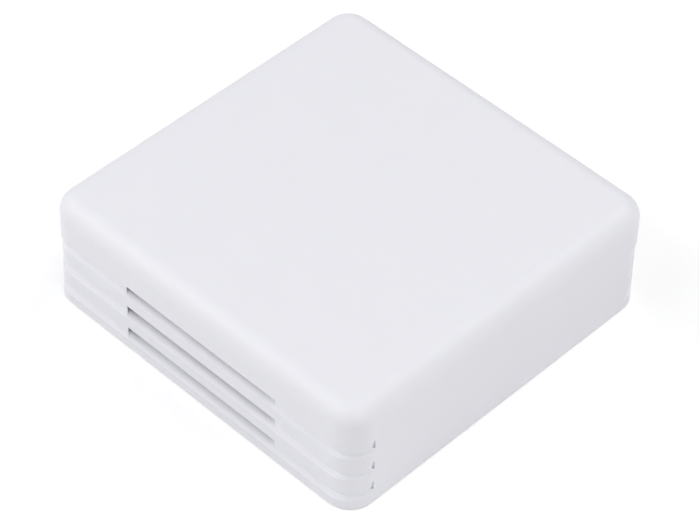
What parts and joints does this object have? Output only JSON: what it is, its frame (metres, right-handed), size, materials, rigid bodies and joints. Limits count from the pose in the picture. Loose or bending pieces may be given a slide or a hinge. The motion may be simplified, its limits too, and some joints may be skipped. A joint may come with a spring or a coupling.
{
  "type": "temperature sensor",
  "caption": "Square white wall-mounted room temperature sensor with a plain clip-fit cover, ribbed and vented upper and lower sides, base plate and circuit board.",
  "frame": {"origin": "centre of the housing's back, on the wall", "axes": "+Z out of the wall through the front face, +Y up the wall, +X to the right; the vented sides face -Y and +Y"},
  "size_m": [0.085, 0.085, 0.027],
  "materials": {
    "cover_abs": "white ABS, moulded with a fine matt texture",
    "base_abs": "white ABS, moulded, satin",
    "board_laminate": "green solder mask on glass-epoxy laminate",
    "zinc_steel": "zinc-plated steel",
    "tinned_copper": "bright tin plating on copper alloy",
    "gold_pins": "thin gold plating on brass",
    "clamp_steel": "nickel-plated steel, stamped",
    "terminal_polyamide": "green polyamide, moulded",
    "switch_housing": "red moulded thermoplastic",
    "slider_white": "white moulded polyamide",
    "button_black": "black moulded thermoplastic",
    "chip_resin": "black moulding epoxy",
    "can_aluminium": "drawn aluminium can",
    "crystal_lid": "plated steel lid on ceramic",
    "sensor_resin": "black moulding epoxy",
    "led_resin": "clear resin on a white carrier",
    "resistor_film": "black glazed film on alumina",
    "capacitor_ceramic": "tan barium titanate ceramic"
  },
  "bodies": {
    "base": {"base_plate": "base_abs", "latch_tongues": "base_abs", "circuit_board": "board_laminate", "board_screws": "zinc_steel", "terminal_block": "terminal_polyamide", "terminal_contacts": "tinned_copper", "dip_switch": "switch_housing", "push_button": "button_black", "microcontroller": "chip_resin", "microcontroller_leads": "tinned_copper", "bus_transceiver": "chip_resin", "transceiver_leads": "tinned_copper", "voltage_regulator": "chip_resin", "regulator_leads": "tinned_copper", "crystal": "crystal_lid", "capacitor_foot": "button_black", "filter_capacitor": "can_aluminium", "temperature_sensor": "sensor_resin", "status_led": "led_resin", "programming_header": "button_black", "header_pins": "gold_pins", "chip_resistors": "resistor_film", "ceramic_capacitors": "capacitor_ceramic"},
    "cover": {"front_cover": "cover_abs"},
    "terminal_screw_1": {"terminal_screw_1": "zinc_steel"},
    "wire_clamp_1": {"wire_clamp_1": "clamp_steel"},
    "terminal_screw_2": {"terminal_screw_2": "zinc_steel"},
    "wire_clamp_2": {"wire_clamp_2": "clamp_steel"},
    "terminal_screw_3": {"terminal_screw_3": "zinc_steel"},
    "wire_clamp_3": {"wire_clamp_3": "clamp_steel"},
    "terminal_screw_4": {"terminal_screw_4": "zinc_steel"},
    "wire_clamp_4": {"wire_clamp_4": "clamp_steel"},
    "dip_slider_1": {"dip_slider_1": "slider_white"},
    "dip_slider_2": {"dip_slider_2": "slider_white"},
    "dip_slider_3": {"dip_slider_3": "slider_white"},
    "dip_slider_4": {"dip_slider_4": "slider_white"},
    "button_cap": {"button_cap": "button_black"}
  },
  "joints": [
    {"name": "cover_lift", "type": "slide", "parent": "base", "child": "cover", "axis": [0, 0, 1], "range_m": [0, 0.045], "deforming": ["latch_tongues"]},
    {"name": "terminal_turn_1", "type": "hinge", "parent": "base", "child": "terminal_screw_1", "pos_m": [-0.0075, 0.0039, 0.018], "axis": [0, 0, -1], "range_deg": [0, 1440]},
    {"name": "clamp_rise_1", "type": "slide", "parent": "base", "child": "wire_clamp_1", "axis": [0, 0, 1], "range_m": [0, 0.0018]},
    {"name": "terminal_turn_2", "type": "hinge", "parent": "base", "child": "terminal_screw_2", "pos_m": [-0.0025, 0.0039, 0.018], "axis": [0, 0, -1], "range_deg": [0, 1440]},
    {"name": "clamp_rise_2", "type": "slide", "parent": "base", "child": "wire_clamp_2", "axis": [0, 0, 1], "range_m": [0, 0.0018]},
    {"name": "terminal_turn_3", "type": "hinge", "parent": "base", "child": "terminal_screw_3", "pos_m": [0.0025, 0.0039, 0.018], "axis": [0, 0, -1], "range_deg": [0, 1440]},
    {"name": "clamp_rise_3", "type": "slide", "parent": "base", "child": "wire_clamp_3", "axis": [0, 0, 1], "range_m": [0, 0.0018]},
    {"name": "terminal_turn_4", "type": "hinge", "parent": "base", "child": "terminal_screw_4", "pos_m": [0.0075, 0.0039, 0.018], "axis": [0, 0, -1], "range_deg": [0, 1440]},
    {"name": "clamp_rise_4", "type": "slide", "parent": "base", "child": "wire_clamp_4", "axis": [0, 0, 1], "range_m": [0, 0.0018]},
    {"name": "dip_slide_1", "type": "slide", "parent": "base", "child": "dip_slider_1", "axis": [0, 1, 0], "range_m": [0, 0.0015]},
    {"name": "dip_slide_2", "type": "slide", "parent": "base", "child": "dip_slider_2", "axis": [0, 1, 0], "range_m": [0, 0.0015]},
    {"name": "dip_slide_3", "type": "slide", "parent": "base", "child": "dip_slider_3", "axis": [0, 1, 0], "range_m": [0, 0.0015]},
    {"name": "dip_slide_4", "type": "slide", "parent": "base", "child": "dip_slider_4", "axis": [0, 1, 0], "range_m": [0, 0.0015]},
    {"name": "button_press", "type": "slide", "parent": "base", "child": "button_cap", "axis": [0, 0, -1], "range_m": [0, 0.00025], "stiffness_N_per_m": 500}
  ],
  "couplings": [
    {"joint": "terminal_turn_1", "follows": "clamp_rise_1", "rad_per_m": 13963},
    {"joint": "terminal_turn_2", "follows": "clamp_rise_2", "rad_per_m": 13963},
    {"joint": "terminal_turn_3", "follows": "clamp_rise_3", "rad_per_m": 13963},
    {"joint": "terminal_turn_4", "follows": "clamp_rise_4", "rad_per_m": 13963}
  ]
}
